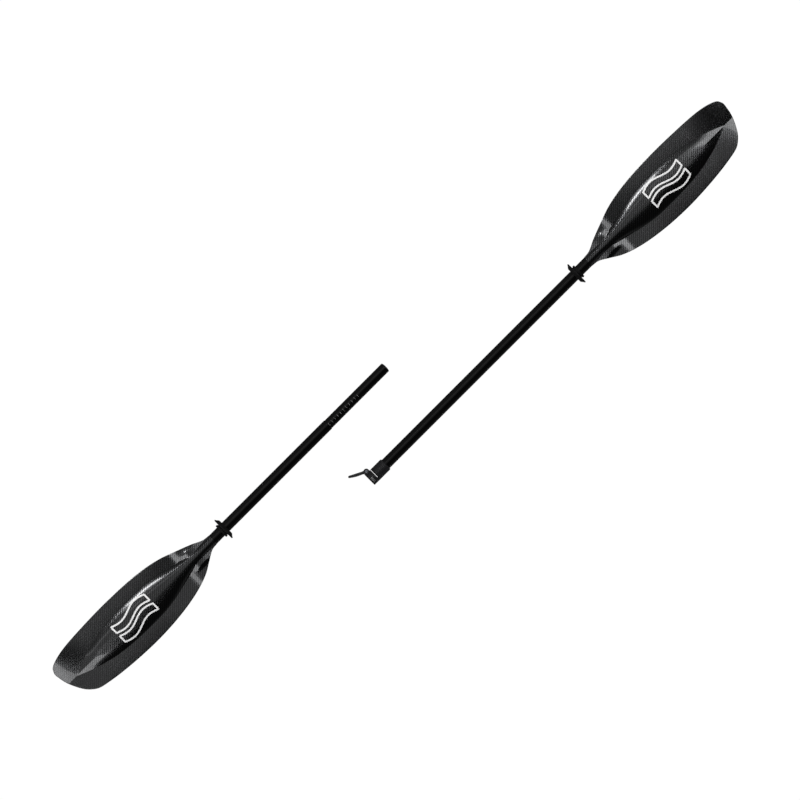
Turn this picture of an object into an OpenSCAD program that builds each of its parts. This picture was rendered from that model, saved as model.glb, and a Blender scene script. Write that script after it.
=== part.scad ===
// Two-piece touring kayak paddle, taken apart: two foam-core carbon blades on
// tube shafts, joined by a telescoping ferrule with a lever-locked clamp band.
//
// Frame: the origin is the centre of the socket's mouth. +X runs along the right
// half towards its blade, +Z is up. The left half lies beside it, at +Y. Both
// blades lie with the power face down, on the tips, and their backs up.
// Each blade is drawn along its own axis: s runs from the neck seam to the tip,
// y across it. Both blades have their longer tip corner at +Y.

/* [Shafts] */
// Outside diameter of both shafts
shaft_od = 28.5; // [27.5:0.5:29]
// Bore of the socket that takes the sliding tube
socket_bore = 26.6; // [26.4:0.1:26.8]
// Bore of the shafts beyond the socket
shaft_bore = 26; // [25:0.5:26]
// Depth of the socket, from its mouth
socket_depth = 232; // [220:1:300]
// Distance from the socket's mouth to the right neck seam
right_seam_x = 768; // [760:1:800]
// Length of the left shaft, from its shoulder to its neck seam
left_shaft_length = 405; // [395:1:430]

/* [Ferrule] */
// Outside diameter of the sliding tube
ferrule_od = 26.5; // [26:0.1:26.6]
// Bore of the sliding tube
ferrule_bore = 24.4; // [24:0.1:25]
// Length of the sliding tube outside the left shaft
ferrule_reach = 200; // [180:1:210]
// Length of the sliding tube glued inside the left shaft
ferrule_overlap = 80; // [60:1:100]
// Rise of the domed end plug
dome_rise = 3; // [2:0.5:5]

/* [Clamp] */
// Length of the collar along the shaft
collar_length = 56.5; // [52:0.5:60]
// Outside diameter of the collar
collar_od = 34.8; // [34.4:0.2:36]
// Length of the band that grips the sliding tube
band_length = 18.5; // [18:0.5:20]
// Width of the slit between the band and the sleeve
slit_width = 1.2; // [1:0.1:3]
// Depth of the slit, from the lever's side of the collar
slit_depth = 26; // [22:1:28]
// Gap between the two ears of the band
ear_gap = 2; // [1.5:0.5:3]
// Distance of the lever's pivot from the shaft's axis
pivot_y = 21.2; // [21:0.1:22]
// Length of the lever, from its pivot to its tip
lever_length = 47.5; // [44:0.5:50]
// Width of the lever
lever_width = 21.6; // [21:0.2:24]
// Angle of the open lever from the closed one
lever_open = 153; // [120:1:155]

/* [Drip rings] */
// Outside diameter of a drip ring
ring_od = 63; // [56:1:63]
// Diameter of a drip ring's hub
hub_od = 38; // [36:1:42]
// Distance of the right ring's middle from its neck seam
right_ring_offset = 40; // [36:0.5:60]
// Distance of the left ring's middle from its neck seam
left_ring_offset = 36; // [32:0.5:60]

/* [Blades] */
// Length of a blade, from the neck seam to the tip
blade_length = 517.5; // [500:0.5:540]
// Drop of the tip below the shaft's axis, towards the power face
tip_drop = 32.6; // [20:0.1:32.6]
// Thickness of one skin
skin = 0.9; // [0.8:0.1:1.5]
// Slope of the blade's two sides, away from the ridge on the power face
dihedral = 0.05; // [0.02:0.01:0.08]
// Extra slope of the two sides at the tip
tip_dihedral = 0.11; // [0:0.01:0.12]

/* [Layout] */
// Distance between the two halves' axes
halves_gap = 171; // [165:1:220]
// Distance from the socket's mouth to the left half's shoulder
shoulder_x = 25; // [0:1:60]

/* [Hidden] */
$fn = 96;
shaft_r = shaft_od / 2;
socket_r = socket_bore / 2;
shaft_bore_r = shaft_bore / 2;
glue_gap = 0.05;
sleeve_x = band_length + slit_width;
tube_lip = 0.8;
right_shaft_x = sleeve_x + tube_lip;
left_seam_x = shoulder_x - left_shaft_length;
ferrule_r = ferrule_od / 2;
ferrule_end_x = shoulder_x + ferrule_reach;

collar_r = collar_od / 2;
pivot_x = band_length / 2;
hub_r = 7.1;
ear_z = 6.5;
washer_z = 1;
cheek_z = 3;
cheek_gap = 0.1;
cheek_in = ear_z + washer_z + cheek_gap;
bolt_r = 2.5;
bolt_head_r = 3.4;
bolt_head_h = 2.5;
nut_h = 4;
swing_gap = 0.5;

ring_bore_r = shaft_r + glue_gap;
ring_hub_h = 7.6;
ring_h = 17;

// Keys of a blade's outline: [s, half-width] towards +Y and towards -Y. The
// slanted tip edge runs on past the middle line, so its last -Y keys turn
// negative.
edge_hi = [
    [0, 14.4], [20, 17.2], [48, 30.2], [86, 44.8], [130, 60.4], [180, 70.9], [240, 76.6],
    [310, 78.4], [380, 76.9], [440, 73.6], [472, 69.2], [497, 62.2], [511, 54], [517.5, 41],
];
edge_lo = [
    [0, 14.4], [20, 17.4], [46, 32.5], [72, 47.8], [106, 60.4], [150, 70.6], [210, 78.1],
    [275, 80.7], [340, 78.4], [400, 72.9], [440, 66.6], [459, 62], [473, 54.2], [490, 37],
    [505, 10], [513, -12], [517.5, -39],
];
// Keys of the foam core: half-width, height above and height below
core_half = [
    [0, 13.4], [40, 13.6], [76, 17], [121, 26.5], [163, 36.5], [204, 42.5], [245, 43.8],
    [287, 43.4], [329, 41], [370, 36], [400, 29], [432, 19.5], [480, 1],
];
core_above = [
    [0, 13.4], [40, 13.4], [120, 14.4], [200, 14.6], [280, 13.2], [350, 10.6], [400, 7.8],
    [440, 4.4], [480, 0],
];
core_below = [
    [0, 13.4], [40, 13.4], [120, 8.4], [200, 5.4], [280, 3.8], [350, 2.6], [420, 1.4], [480, 0],
];
edge_droop = 3;
neck_length = 40;
core_start = 44;
core_stop = 446;
core_inset = 0.3;
stations = 30;
wing_steps = 4;
core_steps = 10;

INK = "#17181b";
CARBON = "#2b2d31";
STEEL = "#c4cad2";
FOAM = "#e8e2c8";

// ---- curves ---------------------------------------------------------------

// Eases from 0 at a to 1 at b
function ease(x, a, b) = let (t = min(1, max(0, (x - a) / (b - a)))) t * t * (3 - 2 * t);

// Slope of a key list at key i
function key_slope(keys, i) =
    let (a = keys[max(0, i - 1)], b = keys[min(len(keys) - 1, i + 1)]) (b[1] - a[1]) / (b[0] - a[0]);

// Last key at or before x
function key_before(keys, x, i = 0) =
    (i + 2 < len(keys) && keys[i + 1][0] <= x) ? key_before(keys, x, i + 1) : i;

// Smooth curve through a key list
function curve(keys, x) =
    let (
        i = key_before(keys, x),
        a = keys[i],
        b = keys[i + 1],
        w = b[0] - a[0],
        t = min(1, max(0, (x - a[0]) / w)),
        u = 1 - t
    )
    (1 + 2 * t) * u * u * a[1] + t * u * u * w * key_slope(keys, i)
    + t * t * (3 - 2 * t) * b[1] - t * t * u * w * key_slope(keys, i + 1);

// ---- blade surface --------------------------------------------------------

// Height of the blade's middle line: level at the neck, lowest at the tip
function spine_z(s) =
    let (q = min(1, max(0, (s - neck_length) / (blade_length - neck_length))))
    -tip_drop * (0.8 * pow(q, 2) + 0.2 * pow(q, 12));

// Height of the layer between the two skins, with a soft crease on the axis and
// sides that droop again towards their edges
function mid_z(s, y) =
    spine_z(s)
    + (dihedral * ease(s, neck_length, 150) + tip_dihedral * ease(s, 400, 500)) * (sqrt(y * y + 4) - 2)
    - edge_droop * ease(s, 60, 250) * pow(y / 80, 2);

// Outline of a slice through the core: round at the neck, softer farther on
function core_rise(s, y) =
    let (t = min(1, abs(y) / curve(core_half, s)))
    pow(max(0, 1 - t * t), 0.5 + 0.4 * ease(s, 50, 170));

function top_z(s, y) = mid_z(s, y) + curve(core_above, s) * core_rise(s, y);
function bottom_z(s, y) = mid_z(s, y) - curve(core_below, s) * core_rise(s, y);

// Distance along the blade of station i, closest together at both ends
function station_s(i) = (blade_length - 0.6) * (1 - cos(180 * i / stations)) / 2;

// Place of line j across station s, on the core in even angles
function line_y(s, j) =
    let (
        half = curve(core_half, s),
        hi = curve(edge_hi, s),
        lo = -curve(edge_lo, s),
        n = 2 * wing_steps + core_steps,
        k = ease(s, 400, 480),
        y = j < wing_steps ? lo + (-half - lo) * j / wing_steps
            : j > wing_steps + core_steps ? half + (hi - half) * (j - wing_steps - core_steps) / wing_steps
            : -half * cos(180 * (j - wing_steps) / core_steps)
    )
    (1 - k) * y + k * (lo + (hi - lo) * j / n);

// A closed solid between two grids of points, one above the other
module grid_solid(top, bottom) {
    n = len(top);
    m = len(top[0]);
    t = function (i, j) i * m + j;
    b = function (i, j) n * m + i * m + j;
    polyhedron(
        points = [for (row = top) each row, for (row = bottom) each row],
        faces = [
            for (i = [0:n - 2], j = [0:m - 2]) each [
                [t(i, j), t(i, j + 1), t(i + 1, j + 1)], [t(i, j), t(i + 1, j + 1), t(i + 1, j)],
                [b(i, j), b(i + 1, j + 1), b(i, j + 1)], [b(i, j), b(i + 1, j), b(i + 1, j + 1)],
            ],
            for (i = [0:n - 2]) each [
                [b(i, 0), t(i, 0), t(i + 1, 0)], [b(i, 0), t(i + 1, 0), b(i + 1, 0)],
                [b(i, m - 1), t(i + 1, m - 1), t(i, m - 1)], [b(i, m - 1), b(i + 1, m - 1), t(i + 1, m - 1)],
            ],
            for (j = [0:m - 2]) each [
                [b(0, j + 1), t(0, j + 1), t(0, j)], [b(0, j + 1), t(0, j), b(0, j)],
                [b(n - 1, j + 1), t(n - 1, j), t(n - 1, j + 1)], [b(n - 1, j + 1), b(n - 1, j), t(n - 1, j)],
            ],
        ]
    );
}

// One skin, above the core (side = 1) or below it (side = -1)
module blade_skin(side) {
    lines = [0:2 * wing_steps + core_steps];
    inner = [for (i = [0:stations]) let (s = station_s(i)) [
        for (j = lines) let (y = line_y(s, j)) [s, y, side > 0 ? top_z(s, y) : bottom_z(s, y)]
    ]];
    outer = [for (row = inner) [for (p = row) p + [0, 0, side * skin]]];
    if (side > 0) {
        grid_solid(outer, inner);
    } else {
        grid_solid(inner, outer);
    }
}

// The foam between the skins, a little smaller all round
module blade_core() {
    steps = 20;
    shrink = 0.95;
    spots = [for (i = [0:steps]) let (s = core_start + (core_stop - core_start) * i / steps) [
        for (j = [0:core_steps]) [s, -shrink * curve(core_half, s) * cos(180 * j / core_steps)]
    ]];
    thin = 0.12;
    top = [for (row = spots) [for (p = row)
        [p.x, p.y, mid_z(p.x, p.y) + max(thin, top_z(p.x, p.y) - mid_z(p.x, p.y) - core_inset)]
    ]];
    bottom = [for (row = spots) [for (p = row)
        [p.x, p.y, mid_z(p.x, p.y) - max(thin, mid_z(p.x, p.y) - bottom_z(p.x, p.y) - core_inset)]
    ]];
    grid_solid(top, bottom);
}

// ---- placing --------------------------------------------------------------

module right_blade_frame() {
    translate([right_seam_x, 0, 0]) children();
}

module left_blade_frame() {
    translate([left_seam_x, halves_gap, 0]) mirror([1, 0, 0]) children();
}

module on_left_axis() {
    translate([0, halves_gap, 0]) children();
}

// A rod or a bore along X, from x0 to x1
module along_x(x0, x1, r) {
    translate([x0, 0, 0]) rotate([0, 90, 0]) cylinder(r = r, h = x1 - x0);
}

// ---- shafts and ferrule ---------------------------------------------------

module tube(x0, x1, r, bore_r) {
    difference() {
        along_x(x0, x1, r);
        along_x(x0 - 1, x1 + 1, bore_r);
    }
}

module right_shaft() {
    color(INK) difference() {
        tube(right_shaft_x, right_seam_x, shaft_r, shaft_bore_r);
        along_x(right_shaft_x - 1, socket_depth, socket_r);
    }
}

module left_shaft() {
    color(INK) on_left_axis() tube(left_seam_x, shoulder_x, shaft_r, shaft_bore_r);
}

// Sliding tube, ground down where it is glued in, up to a groove at the shoulder
module ferrule_tube() {
    groove = 2;
    root_x = shoulder_x - ferrule_overlap;
    full_x = shoulder_x + groove;
    color(INK) on_left_axis() difference() {
        union() {
            along_x(root_x, full_x + 1, shaft_bore_r - glue_gap);
            along_x(full_x, ferrule_end_x, ferrule_r);
        }
        along_x(root_x - 1, ferrule_end_x + 1, ferrule_bore / 2);
    }
}

// Domed plug that closes the sliding tube's end, turned from its profile
module ferrule_end_plug() {
    stem = 14;
    face_gap = 0.1;
    stem_r = ferrule_bore / 2 - glue_gap;
    steps = 8;
    color(INK) on_left_axis() translate([ferrule_end_x - stem, 0, 0]) rotate([0, 90, 0]) rotate_extrude() polygon([
        [0, 0],
        [stem_r, 0],
        [stem_r, stem + face_gap],
        for (i = [0:steps]) let (a = 90 * i / steps)
            [ferrule_r * cos(a), stem + face_gap + dome_rise * sin(a)],
    ]);
}

// Tube that joins a neck to its shaft
module neck_spigot() {
    spigot_in_shaft = 50;
    color(CARBON) tube(-spigot_in_shaft, neck_length - 4, shaft_bore_r - glue_gap, shaft_bore_r - 2.5);
}

module right_neck_spigot() {
    right_blade_frame() neck_spigot();
}

module left_neck_spigot() {
    left_blade_frame() neck_spigot();
}

// Foam floats in the shafts' bores: the right one slides, the left one is tight
float_length = 40;

module right_shaft_float() {
    slide_gap = 0.3;
    color(FOAM) along_x(socket_depth + 4, socket_depth + 4 + float_length, shaft_bore_r - slide_gap);
}

module left_shaft_float() {
    color(FOAM) on_left_axis() along_x(left_seam_x + 160, left_seam_x + 160 + float_length, shaft_bore_r - glue_gap);
}

// ---- clamp ----------------------------------------------------------------

// Upright rod or hole on the lever's pivot
module at_pivot(z0, z1, r) {
    translate([pivot_x, pivot_y, z0]) cylinder(r = r, h = z1 - z0);
}

// The two ears before they are split: a round boss on a square foot
module ears() {
    foot_y = 10;
    shelf_y = pivot_y - 2;
    at_pivot(-ear_z, ear_z, hub_r);
    translate([0, foot_y, -ear_z]) cube([pivot_x, shelf_y - foot_y, 2 * ear_z]);
    translate([pivot_x - 1, foot_y, -ear_z]) cube([hub_r + 1, pivot_y - foot_y, 2 * ear_z]);
}

module clamp_collar() {
    edge = 2;
    color(INK) difference() {
        union() {
            rotate([0, 90, 0]) rotate_extrude() polygon([
                [0, 0], [collar_r - 0.6, 0], [collar_r, 0.6], [collar_r, collar_length - edge],
                [collar_r - edge, collar_length], [0, collar_length],
            ]);
            ears();
        }
        along_x(-1, right_shaft_x, socket_r);
        along_x(right_shaft_x, collar_length + 1, shaft_r + glue_gap);
        // slit that frees the band from the sleeve
        translate([band_length, collar_r - slit_depth, -2 * collar_r]) cube([slit_width, 2 * collar_r, 4 * collar_r]);
        // split between the ears
        translate([-1, socket_r / 2, -ear_gap / 2]) cube([band_length + 2, 2 * collar_r, ear_gap]);
        at_pivot(-2 * ear_z, 2 * ear_z, bolt_r + glue_gap);
        // pockets for the lever's cheeks and the washers
        for (z = [ear_z, -ear_z - collar_r]) {
            at_pivot(z, z + collar_r, hub_r + swing_gap);
        }
    }
}

// Outline of the lever's side, closed, from its pivot: straight on the shaft's
// side, gently bellied outside, with a round tip
module lever_side() {
    root = hub_r + swing_gap;
    tip_r = 3;
    end = lever_length - tip_r;
    inner = -3;
    steps = 12;
    belly = function (u) let (q = (u - root) / (end - root)) 4 + (tip_r - 4) * q + 1.5 * sin(180 * q);
    polygon([
        [root, inner],
        [end, -tip_r],
        for (i = [steps:-1:0]) let (u = root + (end - root) * i / steps) [u, belly(u)],
    ]);
    translate([end, 0]) circle(r = tip_r);
}

// A cheek: the hub and the web that joins it to the lever's plate
module lever_cheek() {
    circle(r = hub_r);
    polygon([[0, -hub_r * 0.7], [hub_r + 4, -3], [hub_r + 4, 4.4], [0, hub_r * 0.86]]);
}

module clamp_lever() {
    color(INK) translate([pivot_x, pivot_y, 0]) rotate([0, 0, lever_open]) difference() {
        union() {
            translate([0, 0, -lever_width / 2]) linear_extrude(lever_width) lever_side();
            for (z = [cheek_in, -cheek_in - cheek_z]) {
                translate([0, 0, z]) linear_extrude(cheek_z) lever_cheek();
            }
        }
        translate([0, 0, -lever_width]) cylinder(r = bolt_r + glue_gap, h = 2 * lever_width);
    }
}

module tension_bolt() {
    top = cheek_in + cheek_z + cheek_gap;
    socket_w = 2.4;
    color(STEEL) difference() {
        union() {
            at_pivot(-top - nut_h - 0.5, top, bolt_r);
            at_pivot(top, top + bolt_head_h, bolt_head_r);
        }
        translate([pivot_x, pivot_y, top + 0.9]) cylinder(r = socket_w / 2, h = bolt_head_h, $fn = 6);
    }
}

module tension_nut() {
    bottom = cheek_in + cheek_z + cheek_gap;
    color(STEEL) difference() {
        translate([pivot_x, pivot_y, -bottom - nut_h]) cylinder(r = 4.6, h = nut_h, $fn = 6);
        at_pivot(-bottom - nut_h - 1, -bottom + 1, bolt_r + glue_gap / 2);
    }
}

// Washers between the ears and the lever's cheeks
module thrust_washers() {
    color(STEEL) for (z = [ear_z, -ear_z - washer_z]) {
        difference() {
            at_pivot(z, z + washer_z, hub_r - 1);
            at_pivot(z - 1, z + washer_z + 1, bolt_r + glue_gap);
        }
    }
}

// ---- drip rings -----------------------------------------------------------

// Ring on its own axis: hub at 0, disc with a sloping face at the far end
module drip_ring() {
    disc_r = ring_od / 2;
    hub_r = hub_od / 2;
    round_r = 1.9;
    color(INK) difference() {
        rotate_extrude() {
            polygon([
                [0, 0], [hub_r - 0.8, 0], [hub_r, 0.8], [hub_r, 5.2], [hub_r - 2, 5.6],
                [hub_r - 2, ring_hub_h], [disc_r - round_r, ring_hub_h], [disc_r - round_r + 1.1, ring_hub_h + 2.7],
                [disc_r - 9, ring_h], [0, ring_h],
            ]);
            translate([disc_r - round_r, ring_hub_h + round_r]) circle(r = round_r, $fn = 32);
        }
        translate([0, 0, -1]) cylinder(r = ring_bore_r, h = ring_h + 2);
    }
}

module right_drip_ring() {
    translate([right_seam_x - right_ring_offset + ring_h / 2, 0, 0]) rotate([0, -90, 0]) drip_ring();
}

module left_drip_ring() {
    translate([left_seam_x + left_ring_offset - ring_h / 2, halves_gap, 0]) rotate([0, 90, 0]) drip_ring();
}

// ---- blades ---------------------------------------------------------------

module right_blade_core() {
    color(FOAM) right_blade_frame() blade_core();
}

module left_blade_core() {
    color(FOAM) left_blade_frame() blade_core();
}

// The front skin carries the power face, below; the back skin is above
module right_blade_front_skin() {
    color(CARBON) right_blade_frame() blade_skin(-1);
}

module left_blade_front_skin() {
    color(CARBON) left_blade_frame() blade_skin(-1);
}

module right_blade_back_skin() {
    color(CARBON) right_blade_frame() blade_skin(1);
}

module left_blade_back_skin() {
    color(CARBON) left_blade_frame() blade_skin(1);
}

right_shaft();
right_neck_spigot();
right_shaft_float();
right_blade_core();
right_blade_front_skin();
right_blade_back_skin();
right_drip_ring();
clamp_collar();
clamp_lever();
tension_bolt();
tension_nut();
thrust_washers();
left_shaft();
ferrule_tube();
ferrule_end_plug();
left_neck_spigot();
left_shaft_float();
left_blade_core();
left_blade_front_skin();
left_blade_back_skin();
left_drip_ring();
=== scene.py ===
"""Two-piece kayak paddle, taken apart, seen from straight above on a white table."""

import math

import bmesh
import bpy
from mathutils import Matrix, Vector


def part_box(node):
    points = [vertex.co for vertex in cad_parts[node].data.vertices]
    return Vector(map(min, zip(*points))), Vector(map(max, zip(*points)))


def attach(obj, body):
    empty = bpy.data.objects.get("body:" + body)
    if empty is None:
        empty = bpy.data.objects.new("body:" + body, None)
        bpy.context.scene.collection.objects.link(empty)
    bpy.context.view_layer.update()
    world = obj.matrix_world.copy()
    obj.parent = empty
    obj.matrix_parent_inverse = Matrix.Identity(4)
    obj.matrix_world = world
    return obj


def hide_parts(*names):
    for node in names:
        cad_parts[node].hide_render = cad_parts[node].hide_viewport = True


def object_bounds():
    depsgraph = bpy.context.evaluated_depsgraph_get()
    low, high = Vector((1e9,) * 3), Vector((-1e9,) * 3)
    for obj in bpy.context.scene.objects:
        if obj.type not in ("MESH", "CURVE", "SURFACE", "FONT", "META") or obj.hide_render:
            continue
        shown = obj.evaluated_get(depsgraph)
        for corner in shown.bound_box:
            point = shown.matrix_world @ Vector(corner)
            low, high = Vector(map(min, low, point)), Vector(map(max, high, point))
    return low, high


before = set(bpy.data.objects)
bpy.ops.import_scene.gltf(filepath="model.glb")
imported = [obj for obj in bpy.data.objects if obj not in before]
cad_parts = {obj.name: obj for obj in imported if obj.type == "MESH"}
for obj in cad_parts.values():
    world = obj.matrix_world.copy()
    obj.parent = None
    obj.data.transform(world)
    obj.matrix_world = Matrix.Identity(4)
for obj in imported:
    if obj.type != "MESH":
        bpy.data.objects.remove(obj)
cad_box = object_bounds()
cad_middle = (cad_box[0] + cad_box[1]) / 2

MM = 0.001
SMOOTH_LIMIT = math.radians(7)


# ---- where the CAD says things are ------------------------------------------

right_seam_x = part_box("right_blade_back_skin")[0].x
left_seam_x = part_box("left_blade_back_skin")[1].x
tube_low, tube_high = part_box("ferrule_tube")
left_axis_y = (tube_low.y + tube_high.y) / 2
tube_r = (tube_high.z - tube_low.z) / 2
shaft_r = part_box("right_shaft")[1].z
shoulder_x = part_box("left_shaft")[1].x
table_z = cad_box[0].z - 0.06  # low enough for a feathered blade to turn clear of it


# ---- curves -----------------------------------------------------------------


def clamp(x, low=0.0, high=1.0):
    return min(high, max(low, x))


def mix(a, b, k):
    return a + (b - a) * k


def ease(x, a, b):
    """Eases from 0 at a to 1 at b."""
    t = clamp((x - a) / (b - a))
    return t * t * (3 - 2 * t)


def key_slope(keys, i):
    """Slope of a curve at its key i, taken across the keys beside it."""
    a, b = keys[max(0, i - 1)], keys[min(len(keys) - 1, i + 1)]
    return (b[1] - a[1]) / (b[0] - a[0])


def curve(keys, x):
    """Smooth curve through a list of (x, value) keys."""
    i = 0
    while i + 2 < len(keys) and keys[i + 1][0] <= x:
        i += 1
    a, b = keys[i], keys[i + 1]
    w = b[0] - a[0]
    t = clamp((x - a[0]) / w)
    u = 1 - t
    rise = t * u * w * (u * key_slope(keys, i) - t * key_slope(keys, i + 1))
    return (1 + 2 * t) * u * u * a[1] + t * t * (3 - 2 * t) * b[1] + rise


def smooth_max(a, b, k):
    """The larger of a and b, rounded where they are within k of each other."""
    h = max(k - abs(a - b), 0.0)
    return max(a, b) + h * h / (4 * k)


# ---- blade surface, in mm: s from the neck seam to the tip, y across ---------

BLADE_LENGTH = 517.5
NECK_LENGTH = 40
TIP_DROP = 32.6
SKIN = 0.9

# Curves along the blade as (s, value): the outline on both sides of the axis, the core's
# half width, and the core's height above and below the layer between the skins.
EDGE_HIGH = [
    (0, 14.4), (20, 17.2), (48, 30.2), (86, 44.8), (130, 60.4), (180, 70.9), (240, 76.6),
    (310, 78.4), (380, 76.9), (440, 73.6), (472, 69.2), (497, 62.2), (511, 54), (517.5, 41),
]
EDGE_LOW = [
    (0, 14.4), (20, 17.4), (46, 32.5), (72, 47.8), (106, 60.4), (150, 70.6), (210, 78.1),
    (275, 80.7), (340, 78.4), (400, 72.9), (440, 66.6), (459, 62), (473, 54.2), (490, 37),
    (505, 10), (513, -12), (517.5, -39),
]
CORE_HALF = [
    (0, 13.4), (40, 13.6), (76, 17), (121, 26.5), (163, 36.5), (204, 42.5), (245, 43.8),
    (287, 43.4), (329, 41), (370, 36), (400, 29), (432, 19.5), (480, 1),
]
CORE_ABOVE = [
    (0, 13.4), (40, 13.4), (120, 14.4), (200, 14.6), (280, 13.2), (350, 10.6), (400, 7.8),
    (440, 4.4), (480, 0),
]
CORE_BELOW = [
    (0, 13.4), (40, 13.4), (120, 8.4), (200, 5.4), (280, 3.8), (350, 2.6), (420, 1.4), (480, 0),
]

ROOF_FROM, ROOF_TO = 392, 440  # where the core's round top turns into a roof
SHOULDER_RISE = 5.5
SHOULDER_BLEND = 2.4
KNOB_RISE = 4.2
DIHEDRAL, TIP_DIHEDRAL = 0.05, 0.11
EDGE_DROOP = 3
HALF_WIDTH = 80
RIM_ROUND = 1.3
THINNEST = 0.06


def spine_z(s):
    """Height of the blade's axis, which bends down towards the tip."""
    q = clamp((s - NECK_LENGTH) / (BLADE_LENGTH - NECK_LENGTH))
    return -TIP_DROP * (0.8 * q**2 + 0.2 * q**12)


def base_z(s, y):
    """Height of the blade's plane: two shallow sides, meeting in a crease near the tip."""
    slope = DIHEDRAL * ease(s, NECK_LENGTH, 150) + TIP_DIHEDRAL * ease(s, 400, 500)
    crease = mix(2.0, 0.15, ease(s, 380, 440))
    sides = slope * (math.hypot(y, crease) - crease)
    droop = EDGE_DROOP * ease(s, 60, 250) * (y / HALF_WIDTH) ** 2
    return spine_z(s) + sides - droop


def shoulder_rise(s, y):
    """Lift of the two shoulders beside the neck, and of the knob on each."""
    lift = SHOULDER_RISE * ease(s, 0, 66) * (1 - ease(s, 82, 114))
    knob = KNOB_RISE * ease(s, 0, 66) * (1 - ease(s, 67, 90)) * (1 - ease(abs(y), 23, 34))
    return lift + knob


def mid_z(s, y):
    """Height of the layer between the two skins."""
    half = curve(CORE_HALF, s)
    return base_z(s, y) + shoulder_rise(s, y) * ease(abs(y), 0.5 * half, half)


def core_rise(s, y, roof):
    """Outline of a slice through the core, from 1 on the axis to 0 at its border."""
    t = min(1.0, abs(y) / curve(CORE_HALF, s))
    round_top = max(0.0, 1 - t * t) ** (0.5 + 0.4 * ease(s, 50, 170))
    return mix(round_top, 1 - t, roof * ease(s, ROOF_FROM, ROOF_TO))


def back_z(s, y):
    """Inner face of the back laminate: the core's bulge, blended into the shoulders."""
    bulge = curve(CORE_ABOVE, s) * core_rise(s, y, 1.0)
    shoulder = shoulder_rise(s, y)
    blend = 0.01 + SHOULDER_BLEND * min(1.0, shoulder / 3)
    return base_z(s, y) + smooth_max(bulge, shoulder, blend)


def front_z(s, y):
    """Inner face of the power-face laminate, with a flatter bulge."""
    return mid_z(s, y) - curve(CORE_BELOW, s) * core_rise(s, y, 0.5)


def edges(s):
    """Both borders of the outline at station s."""
    return -curve(EDGE_LOW, s), curve(EDGE_HIGH, s)


def rim_distance(s, y):
    """Distance to the outline, near enough for rounding the rim."""
    step = 0.4
    low, high = edges(s)
    low_before, high_before = edges(s - step)
    low_slope = (low - low_before) / step
    high_slope = (high - high_before) / step
    return max(0.0, min(
        (y - low) / math.hypot(1, low_slope),
        (high - y) / math.hypot(1, high_slope),
        BLADE_LENGTH - s,
    ))


def skin_thickness(s, y):
    """Full thickness inside, rounded off close to the rim."""
    t = clamp(rim_distance(s, y) / RIM_ROUND)
    return max(THINNEST, SKIN * math.sqrt(1 - (1 - t) ** 2))


STATIONS = 210
LAST_STATION = BLADE_LENGTH - 0.6
RIM_STEPS = [0, 0.15, 0.4, 0.8, 1.4]
WING_LINES = 22
CORE_LINES = 26


def station(i):
    """Distance along the blade of station i, closer together at both ends."""
    t = i / STATIONS
    return LAST_STATION * mix(t, (1 - math.cos(math.pi * t)) / 2, 0.75)


def lines(s):
    """Places across station s: rim, wing, core, wing, rim, with one line on the axis."""
    low, high = edges(s)
    middle = max(0.0, low + 0.12 * (high - low))
    half = max(curve(CORE_HALF, s), 10.0)
    core_low = max(-half, low + 0.3 * (middle - low))
    core_high = min(half + middle, high - 0.3 * (high - middle))
    if s < NECK_LENGTH + 20:
        core_low = max(-half, low + 0.05)
        core_high = min(half, high - 0.05)

    def wing(edge, core):
        room = abs(core - edge)
        insets = [min(r, room * k / 8) for k, r in enumerate(RIM_STEPS)]
        rim = [edge + math.copysign(inset, core - edge) for inset in insets]
        return rim + [mix(rim[-1], core, k / WING_LINES) for k in range(1, WING_LINES)]

    side = [math.sin(math.pi / 2 * k / CORE_LINES) for k in range(CORE_LINES + 1)]
    left = [mix(middle, core_low, k) for k in reversed(side)]
    right = [mix(middle, core_high, k) for k in side[1:]]
    return wing(low, core_low) + left + right + wing(high, core_high)[::-1]


def placer(seam_x, axis_y, way):
    """Blade millimetres to the frame's metres."""
    return lambda s, y, z: Vector((seam_x + way * s * MM, axis_y + y * MM, z * MM))


BLADES = {
    "right": placer(right_seam_x, 0.0, 1),
    "left": placer(left_seam_x, left_axis_y, -1),
}


# ---- making pieces ------------------------------------------------------------


def object_from(bm, name, body, mat, limit=SMOOTH_LIMIT):
    """Ends a mesh: outward faces, smooth but for its creases, one material, one body."""
    bmesh.ops.recalc_face_normals(bm, faces=bm.faces)
    for f in bm.faces:
        f.smooth = True
    for e in bm.edges:
        e.smooth = len(e.link_faces) == 2 and e.calc_face_angle(0.0) < limit
    mesh = bpy.data.meshes.new(name)
    bm.to_mesh(mesh)
    bm.free()
    mesh.materials.append(mat)
    obj = bpy.data.objects.new(name, mesh)
    bpy.context.scene.collection.objects.link(obj)
    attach(obj, body)
    return obj


def shell(bm, top, bottom):
    """A closed solid between two grids of points of the same size."""
    upper = [[bm.verts.new(p) for p in row] for row in top]
    lower = [[bm.verts.new(p) for p in row] for row in bottom]
    rows, cols = len(top), len(top[0])
    for grid in (upper, lower):
        for i in range(rows - 1):
            for j in range(cols - 1):
                bm.faces.new((grid[i][j], grid[i][j + 1], grid[i + 1][j + 1], grid[i + 1][j]))
    rim = [(i, 0) for i in range(rows)]
    rim += [(rows - 1, j) for j in range(1, cols)]
    rim += [(i, cols - 1) for i in range(rows - 2, -1, -1)]
    rim += [(0, j) for j in range(cols - 2, 0, -1)]
    for (i, j), (k, m) in zip(rim, rim[1:] + rim[:1]):
        bm.faces.new((upper[i][j], upper[k][m], lower[k][m], lower[i][j]))


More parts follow.
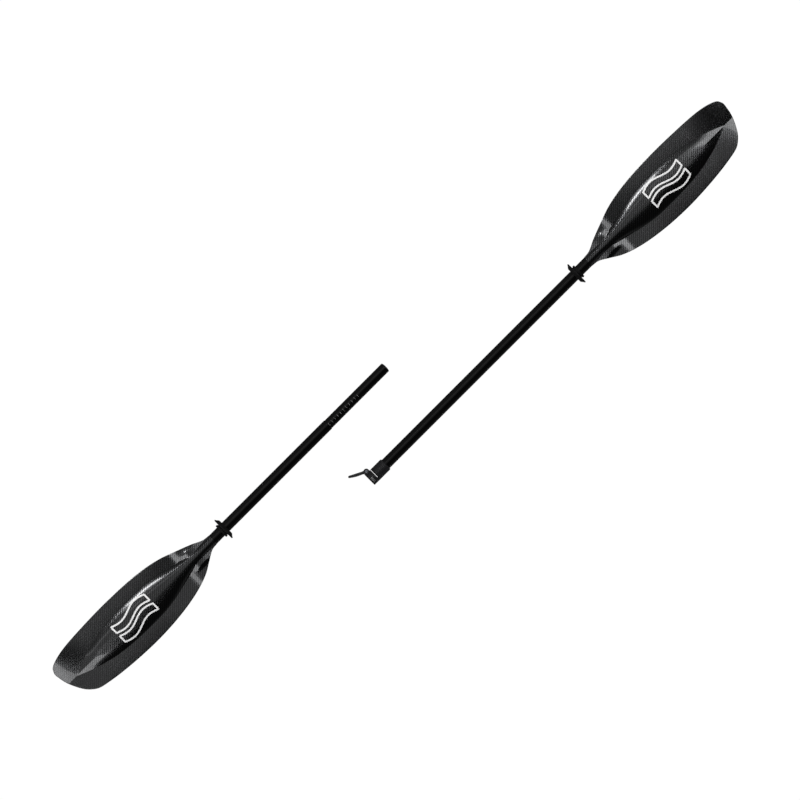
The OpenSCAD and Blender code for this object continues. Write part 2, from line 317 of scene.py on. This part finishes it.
def blade_skin(side, face, mat):
    """One laminate of a blade: the back, which is up, or the power face below it."""
    place = BLADES[side]
    surface, way = (back_z, 1) if face == "back" else (front_z, -1)
    outer, inner = [], []
    for i in range(STATIONS + 1):
        s = station(i)
        spots = [(y, surface(s, y)) for y in lines(s)]
        inner.append([place(s, y, z) for y, z in spots])
        outer.append([place(s, y, z + way * skin_thickness(s, y)) for y, z in spots])
    bm = bmesh.new()
    shell(bm, outer, inner)
    obj = object_from(bm, f"{side}_blade_{face}_laminate", f"{side}_half", mat)
    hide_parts(f"{side}_blade_{face}_skin")


def foam_core(side, mat):
    """The foam between the laminates, just clear of both."""
    place = BLADES[side]
    first, last, rows, cols = 44, 446, 40, 24
    inset, thin = 0.3, 0.12
    top, bottom = [], []
    for i in range(rows + 1):
        s = mix(first, last, i / rows)
        half = 0.95 * curve(CORE_HALF, s)
        upper, lower = [], []
        for j in range(cols + 1):
            y = -half * math.cos(math.pi * j / cols)
            z = mid_z(s, y)
            upper.append(place(s, y, z + max(thin, back_z(s, y) - z - inset)))
            lower.append(place(s, y, z - max(thin, z - front_z(s, y) - inset)))
        top.append(upper)
        bottom.append(lower)
    bm = bmesh.new()
    shell(bm, top, bottom)
    obj = object_from(bm, f"{side}_blade_foam", f"{side}_half", mat)
    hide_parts(f"{side}_blade_core")


# ---- node helpers ---------------------------------------------------------------


class Nodes:
    """A material's node tree, with short calls for maths."""

    def __init__(self, name, **sockets):
        self.material = bpy.data.materials.new(name)
        self.material.use_nodes = True
        self.tree = self.material.node_tree
        self.shader = self.tree.nodes["Principled BSDF"]
        for key, value in sockets.items():
            self.shader.inputs[key.replace("_", " ")].default_value = value

    def node(self, kind, **facts):
        made = self.tree.nodes.new(kind)
        for key, value in facts.items():
            setattr(made, key, value)
        return made

    def feed(self, socket, value):
        if isinstance(value, bpy.types.NodeSocket):
            self.tree.links.new(value, socket)
        else:
            socket.default_value = value

    def math(self, operation, *values):
        made = self.node("ShaderNodeMath", operation=operation)
        for socket, value in zip(made.inputs, values):
            self.feed(socket, value)
        return made.outputs[0]

    def split(self, vector):
        made = self.node("ShaderNodeSeparateXYZ")
        self.feed(made.inputs[0], vector)
        return made.outputs

    def join(self, *values):
        made = self.node("ShaderNodeCombineXYZ")
        for socket, value in zip(made.inputs, values):
            self.feed(socket, value)
        return made.outputs[0]

    def place(self):
        return self.node("ShaderNodeTexCoord").outputs["Object"]

    def noise(self, vector, scale, detail=2.0, roughness=0.5):
        made = self.node("ShaderNodeTexNoise")
        self.feed(made.inputs["Vector"], vector)
        made.inputs["Scale"].default_value = scale
        made.inputs["Detail"].default_value = detail
        made.inputs["Roughness"].default_value = roughness
        return made.outputs["Fac"]

    def ramp(self, value, *stops):
        made = self.node("ShaderNodeValToRGB")
        self.feed(made.inputs[0], value)
        spots = made.color_ramp.elements
        while len(spots) < len(stops):
            spots.new(0.5)
        for spot, (at, colour) in zip(spots, stops):
            spot.position = at
            spot.color = (*colour, 1)
        return made.outputs[0]

    def scaled(self, value, low, high):
        made = self.node("ShaderNodeMapRange")
        self.feed(made.inputs[0], value)
        made.inputs["To Min"].default_value = low
        made.inputs["To Max"].default_value = high
        return made.outputs[0]

    def bump(self, height, distance, strength=1.0):
        made = self.node("ShaderNodeBump")
        made.inputs["Strength"].default_value = strength
        made.inputs["Distance"].default_value = distance
        self.feed(made.inputs["Height"], height)
        self.tree.links.new(made.outputs[0], self.shader.inputs["Normal"])

    def set(self, name, value):
        self.feed(self.shader.inputs[name], value)


def twill(n, u, v):
    """2x2 twill of tows one unit wide: 1 where the u tow is on top, and the height."""
    step = n.math("SUBTRACT", n.math("FLOOR", u), n.math("FLOOR", v))
    turn = n.math("FLOORED_MODULO", step, 4.0)
    over = n.math("LESS_THAN", turn, 1.5)
    across_u = n.math("SINE", n.math("MULTIPLY", n.math("FRACT", u), math.pi))
    across_v = n.math("SINE", n.math("MULTIPLY", n.math("FRACT", v), math.pi))
    picked = n.math("MULTIPLY", over, across_u)
    other = n.math("MULTIPLY", n.math("SUBTRACT", 1.0, over), across_v)
    return over, n.math("ADD", picked, other)


def rotated(n, x, y, angle):
    c, s = math.cos(angle), math.sin(angle)
    u = n.math("ADD", n.math("MULTIPLY", x, c), n.math("MULTIPLY", y, s))
    v = n.math("SUBTRACT", n.math("MULTIPLY", y, c), n.math("MULTIPLY", x, s))
    return u, v


def carbon_weave(n, x, y, tow, angle, relief, roughness, dark, light):
    """Colour, roughness and bump of a woven layer under clear gel coat. The colour is the weave with
    painted sheen: tows on top one way are painted lighter, and each tow is painted lighter on its
    crown and darker at its edges.
    """
    fine, coarse = 9.0, 0.7
    u, v = rotated(n, x, y, angle)
    u = n.math("DIVIDE", u, tow)
    v = n.math("DIVIDE", v, tow)
    over, height = twill(n, u, v)
    along_u = n.join(n.math("MULTIPLY", u, fine), n.math("MULTIPLY", v, coarse), 0.0)
    along_v = n.join(n.math("MULTIPLY", u, coarse), n.math("MULTIPLY", v, fine), 3.0)
    picked = n.math("MULTIPLY", over, n.noise(along_u, 1.0))
    other = n.math("MULTIPLY", n.math("SUBTRACT", 1.0, over), n.noise(along_v, 1.0))
    fibres = n.math("ADD", picked, other)
    # painted sheen: the u tows on top are painted lighter than the v tows; the fibre streaks are
    # real
    sheen_and_fibres = n.math("MULTIPLY_ADD", over, 0.6, n.math("MULTIPLY", fibres, 0.2))
    # painted highlight along each tow's crown and painted shade at its edges
    weave_sheen_and_shade = n.math("MULTIPLY", sheen_and_fibres, n.math("MULTIPLY_ADD", height, 0.7, 0.3))
    n.set("Base Color", n.ramp(weave_sheen_and_shade, (0.0, dark), (0.75, light)))
    n.set("Roughness", n.scaled(over, *roughness))
    n.bump(height, 0.0004, relief)


def blade_material():
    """Twill along the blade's axes, shining through a clear coat."""
    n = Nodes("woven_blade_carbon", Metallic=1.0, Coat_Weight=1.0, Coat_IOR=1.5)
    n.set("Coat Roughness", 0.045)
    x, y, _ = n.split(n.place())
    carbon_weave(
        n, x, y, tow=0.00176, angle=0.0, relief=0.13, roughness=(0.17, 0.23),
        dark=(0.03, 0.03, 0.031), light=(0.235, 0.239, 0.247),
    )
    return n.material


def tube_material(name, axis_y):
    """Carbon tube: nearly black fabric on the slant under a glossy coat."""
    n = Nodes(name, Coat_Weight=1.0, Coat_Roughness=0.06, Coat_IOR=1.5)
    n.set("Specular IOR Level", 0.08)
    x, y, z = n.split(n.place())
    turn = n.math("ARCTAN2", z, n.math("SUBTRACT", y, axis_y))
    around = n.math("MULTIPLY", turn, shaft_r)
    carbon_weave(
        n, x, around, tow=0.0016, angle=math.pi / 4, relief=0.1, roughness=(0.4, 0.5),
        dark=(0.0004, 0.0004, 0.0004), light=(0.0016, 0.0016, 0.0017),
    )
    return n.material


def nylon_material():
    n = Nodes("moulded_black_nylon", Coat_Weight=0.15, Coat_Roughness=0.3)
    grain = n.noise(n.place(), 2600.0, 3.0, 0.6)
    patches = n.noise(n.place(), 60.0, 2.0)
    dark, light = (0.007, 0.007, 0.0077), (0.011, 0.011, 0.012)
    n.set("Base Color", n.ramp(patches, (0.3, dark), (0.7, light)))
    n.set("Roughness", n.scaled(grain, 0.34, 0.5))
    n.bump(grain, 0.00008, 0.6)
    return n.material


def rubber_material():
    n = Nodes("black_rubber")
    n.set("Specular IOR Level", 0.3)
    grain = n.noise(n.place(), 1400.0, 4.0, 0.6)
    dust = n.noise(n.place(), 45.0, 3.0)
    dark, light = (0.003, 0.003, 0.0032), (0.006, 0.006, 0.0064)
    n.set("Base Color", n.ramp(dust, (0.35, dark), (0.8, light)))
    n.set("Roughness", n.scaled(grain, 0.55, 0.72))
    n.bump(grain, 0.0001, 0.5)
    return n.material


def steel_material():
    n = Nodes("brushed_steel", Metallic=1.0)
    x, y, z = n.split(n.place())
    stretched = n.join(n.math("MULTIPLY", x, 900.0), n.math("MULTIPLY", y, 9000.0), z)
    strokes = n.noise(stretched, 1.0, 3.0)
    dark, light = (0.5, 0.53, 0.6), (0.78, 0.82, 0.9)
    n.set("Base Color", n.ramp(strokes, (0.2, dark), (0.8, light)))
    n.set("Roughness", n.scaled(strokes, 0.2, 0.38))
    n.bump(strokes, 0.00003, 0.4)
    return n.material


def foam_material():
    n = Nodes("closed_cell_foam", Roughness=0.9)
    cells = n.node("ShaderNodeTexVoronoi")
    n.feed(cells.inputs["Vector"], n.place())
    cells.inputs["Scale"].default_value = 900.0
    dark, light = (0.55, 0.5, 0.36), (0.84, 0.8, 0.66)
    n.set("Base Color", n.ramp(cells.outputs["Distance"], (0.0, dark), (0.8, light)))
    n.bump(cells.outputs["Distance"], 0.0003, 0.6)
    return n.material


def print_material(name, level):
    """Pad print, slightly uneven; level is how much light it gives back."""
    n = Nodes(name, Coat_Weight=0.5, Coat_Roughness=0.1)
    uneven = n.noise(n.place(), 700.0, 3.0)
    n.set("Base Color", n.ramp(uneven, (0.25, [0.82 * level] * 3), (0.7, [level] * 3)))
    n.set("Roughness", n.scaled(uneven, 0.35, 0.5))
    n.bump(uneven, 0.00002, 0.3)
    return n.material


# ---- printed marks ----------------------------------------------------------------

PRINT_CREASE = math.radians(40)
PRINT_HEIGHT = 0.00001  # clears the flats of the socket's mesh when the halves are joined
PRINT_FOOT = 0.00004  # how far a tick's underside is sunk
MARK_AT = 276  # the emblem's middle, in blade millimetres
MARK_LENGTH = 116
MARK_LINE = 4.4
WAVE_ROWS = (15.0, -16.0)
WAVE_SWING = 7
WAVE_THICK = 20


def ribbon(bm, path, width, height):
    """A thin flat band round a closed path of (s, y); height gives its foot and top at a spot."""
    rings = []
    for i, p in enumerate(path):
        way = (path[(i + 1) % len(path)] - path[i - 1]).normalized()
        side = Vector((-way.y, way.x)) * width / 2
        section = [height(spot, 1) for spot in (p - side, p, p + side)]
        section += [height(spot, 0) for spot in (p + side, p, p - side)]
        rings.append([bm.verts.new(spot) for spot in section])
    for ring, after in zip(rings, rings[1:] + rings[:1]):
        for j in range(len(ring)):
            k = (j + 1) % len(ring)
            bm.faces.new((ring[j], ring[k], after[k], after[j]))


def resampled(corners, step):
    """Points about step apart round a closed run of corners."""
    out = []
    for a, b in zip(corners, corners[1:] + corners[:1]):
        count = max(1, round((b - a).length / step))
        out += [a.lerp(b, k / count) for k in range(count)]
    return out


def wave_band(y):
    """Outline of one wave-shaped band, as (s, y)."""
    steps = 36
    upper = []
    for k in range(steps + 1):
        t = k / steps
        wave = WAVE_SWING * math.sin(2 * math.pi * t)
        upper.append(Vector((MARK_AT + (t - 0.5) * MARK_LENGTH, y + wave + WAVE_THICK / 2)))
    lower = [Vector((p.x, p.y - WAVE_THICK)) for p in reversed(upper)]
    return upper + lower


def blade_mark(side, mat):
    """A plain emblem of two wave bands, in white outline, on the blade's back."""
    place = BLADES[side]
    sunk, thick, step = 0.05, 0.17, 2.0

    def height(p, level):
        z = back_z(p.x, p.y) + skin_thickness(p.x, p.y)
        return place(p.x, p.y, z - sunk + thick * level)

    bm = bmesh.new()
    for y in WAVE_ROWS:
        ribbon(bm, resampled(wave_band(y), step), MARK_LINE, height)
    object_from(bm, f"{side}_blade_wave_mark", f"{side}_half", mat, PRINT_CREASE)


def tick(bm, x, width, radius, axis_y, start, stop):
    """A curved printed line round a tube, from one angle off the top to another."""
    steps = 16
    half = Vector((width / 2, 0, 0))
    top, bottom = [], []
    for k in range(steps + 1):
        a = mix(start, stop, k / steps)
        way = Vector((0, -math.sin(a), math.cos(a)))
        for rows, r in ((top, radius + PRINT_HEIGHT), (bottom, radius - PRINT_FOOT)):
            middle = Vector((x, axis_y, 0)) + way * r
            rows.append([middle - half, middle + half])
    shell(bm, top, bottom)


def tube_scale(mat):
    """Ten-millimetre steps of the sliding tube's length scale, every fifth one longer."""
    first, step, width = shoulder_x + 0.002, 0.01, 0.0011
    start = math.radians(-9)
    bm = bmesh.new()
    for k in range(11):
        stop = math.radians(24 if k % 5 == 0 else 19)
        tick(bm, first + step * k, width, tube_r, left_axis_y, start, stop)
    object_from(bm, "sliding_tube_scale", "left_half", mat, PRINT_CREASE)


def band_scale(mat):
    """Feather-angle steps on the clamp band, every second one longer."""
    middle, half_line = 0.0075, 0.016
    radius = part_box("clamp_collar")[1].z
    bm = bmesh.new()
    for k in range(5):
        a = math.radians(-4 + 10 * k)
        length = 0.006 if k % 2 == 0 else 0.0035
        tick(bm, middle, length, radius, 0.0, a - half_line, a + half_line)
    object_from(bm, "clamp_band_scale", "right_half", mat, PRINT_CREASE)


# ---- CAD nodes that stay: finish only -------------------------------------------


def bevel(node, width):
    """Softens a moulded or machined node's edges."""
    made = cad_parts[node].modifiers.new("edge", "BEVEL")
    made.width = width
    made.segments = 2
    made.limit_method = "ANGLE"
    made.angle_limit = math.radians(35)
    made.harden_normals = True


def paint(mat, *nodes):
    """Gives carried-over CAD nodes their one material."""
    for node in nodes:
        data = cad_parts[node].data
        data.materials.clear()
        data.materials.append(mat)


right_tube = tube_material("wound_tube_right", 0.0)
left_tube = tube_material("wound_tube_left", left_axis_y)
blade_carbon = blade_material()
nylon = nylon_material()
rubber = rubber_material()
steel = steel_material()
foam = foam_material()
white_print = print_material("white_print", 0.9)
worn_print = print_material("worn_print", 0.17)
band_print = print_material("band_print", 0.55)

paint(right_tube, "right_shaft", "right_neck_spigot")
paint(left_tube, "left_shaft", "ferrule_tube", "left_neck_spigot")
paint(nylon, "clamp_collar", "clamp_lever", "ferrule_end_plug")
paint(rubber, "right_drip_ring", "left_drip_ring")
paint(steel, "tension_bolt", "tension_nut", "thrust_washers")
paint(foam, "right_shaft_float", "left_shaft_float")
for name in ("clamp_lever", "clamp_collar"):
    bevel(name, 0.0004)
for name in ("tension_bolt", "tension_nut"):
    bevel(name, 0.0002)

for side in BLADES:
    for face in ("back", "front"):
        blade_skin(side, face, blade_carbon)
    foam_core(side, foam)
    blade_mark(side, white_print)
tube_scale(worn_print)
band_scale(band_print)


# ---- table, light and camera -------------------------------------------------------

TABLE_HALF = 40.0
SKY_LEVELS = [  # grey from -Y at 0 to +Y at 1
    (0.0, 0.012), (0.4, 0.012), (0.475, 0.06), (0.51, 0.28), (0.6, 0.2), (0.71, 0.18),
    (0.735, 0.95), (0.76, 0.16), (0.8, 0.12), (1.0, 0.12),
]
LOW_SKY = 0.08
FAR_LAMP = 40.0
CORE_FLANK = (246, 33, 8)  # where the streak along the core's bulge is lit, in blade millimetres


def table():
    """A plain white table top, bright enough to leave no shadow."""
    bm = bmesh.new()
    bmesh.ops.create_grid(bm, x_segments=1, y_segments=1, size=TABLE_HALF)
    mesh = bpy.data.meshes.new("table_top")
    bm.to_mesh(mesh)
    bm.free()
    n = Nodes("white_table", Roughness=0.9)
    n.set("Base Color", (0.02, 0.02, 0.02, 1.0))
    n.set("Specular IOR Level", 0.0)
    n.set("Emission Color", (1.0, 1.0, 1.0, 1.0))
    n.set("Emission Strength", 1.0)
    mesh.materials.append(n.material)
    top = bpy.data.objects.new("table_top", mesh)
    top.location = (0.0, 0.0, table_z)
    top.visible_glossy = False
    bpy.context.scene.collection.objects.link(top)


def sky():
    """Dim room: dark towards -Y, grey with one bright band towards +Y, faint low down."""
    world = bpy.data.worlds.new("studio")
    bpy.context.scene.world = world
    world.use_nodes = True
    tree = world.node_tree
    back = tree.nodes["Background"]
    place = tree.nodes.new("ShaderNodeTexCoord")
    split = tree.nodes.new("ShaderNodeSeparateXYZ")
    tree.links.new(place.outputs["Generated"], split.inputs[0])
    across = tree.nodes.new("ShaderNodeMapRange")
    across.inputs["From Min"].default_value = -1.0
    tree.links.new(split.outputs["Y"], across.inputs[0])
    ramp = tree.nodes.new("ShaderNodeValToRGB")
    spots = ramp.color_ramp.elements
    while len(spots) < len(SKY_LEVELS):
        spots.new(0.5)
    for spot, (at, level) in zip(spots, SKY_LEVELS):
        spot.position = at
        spot.color = (level, level, level, 1)
    tree.links.new(across.outputs[0], ramp.inputs[0])
    low = tree.nodes.new("ShaderNodeMapRange")
    low.inputs["From Min"].default_value = 0.45
    low.inputs["From Max"].default_value = 0.0
    tree.links.new(split.outputs["Z"], low.inputs[0])
    blend = tree.nodes.new("ShaderNodeMixRGB")
    blend.inputs["Color2"].default_value = (LOW_SKY, LOW_SKY, LOW_SKY, 1)
    tree.links.new(low.outputs[0], blend.inputs["Fac"])
    tree.links.new(ramp.outputs[0], blend.inputs["Color1"])
    tree.links.new(blend.outputs[0], back.inputs["Color"])


def softbox(name, target, heading, from_top, wide, tall, radiance, far=FAR_LAMP):
    """An area light aimed at target: its heading runs from +X towards +Y, its height is
    told from overhead, and its width and height are as seen from there, all in degrees."""
    a, e = math.radians(heading), math.radians(from_top)
    way = Vector((math.sin(e) * math.cos(a), math.sin(e) * math.sin(a), math.cos(e)))
    data = bpy.data.lights.new(name, "AREA")
    data.shape = "RECTANGLE"
    data.size = 2 * far * math.tan(math.radians(wide) / 2)
    data.size_y = 2 * far * math.tan(math.radians(tall) / 2)
    data.energy = radiance * math.pi * data.size * data.size_y
    lamp = bpy.data.objects.new(name, data)
    lamp.location = target + way * far
    lamp.rotation_euler = (-way).to_track_quat("-Z", "Y").to_euler()
    lamp.visible_camera = False
    bpy.context.scene.collection.objects.link(lamp)
    return lamp


def camera():
    """Straight down, turned so that the paddle runs from lower left to upper right."""
    seen_width = 1.9895
    off_middle = 0.0032
    lens = 600.0
    data = bpy.data.cameras.new("camera")
    data.lens = lens
    data.sensor_width = 36.0
    eye = bpy.data.objects.new("camera", data)
    away = seen_width * lens / data.sensor_width
    eye.location = (cad_middle.x, cad_middle.y + off_middle, away)
    eye.rotation_euler = (0.0, 0.0, -math.pi / 4)
    bpy.context.scene.collection.objects.link(eye)
    bpy.context.scene.camera = eye


table()
sky()
fill = softbox("overhead_fill", cad_middle, heading=90, from_top=8, wide=30, tall=30, radiance=7.5)
fill.visible_glossy = False
softbox("far_end_box", cad_middle, heading=17, from_top=34, wide=28, tall=18, radiance=1.8)
softbox("near_end_box", cad_middle, heading=197, from_top=34, wide=28, tall=18, radiance=1.8)
for side, place in BLADES.items():
    flank = place(*CORE_FLANK)
    softbox(f"{side}_strip", flank, heading=90, from_top=52, wide=20, tall=8, radiance=9.5, far=0.63)
camera()
bpy.context.scene.view_settings.view_transform = "Standard"
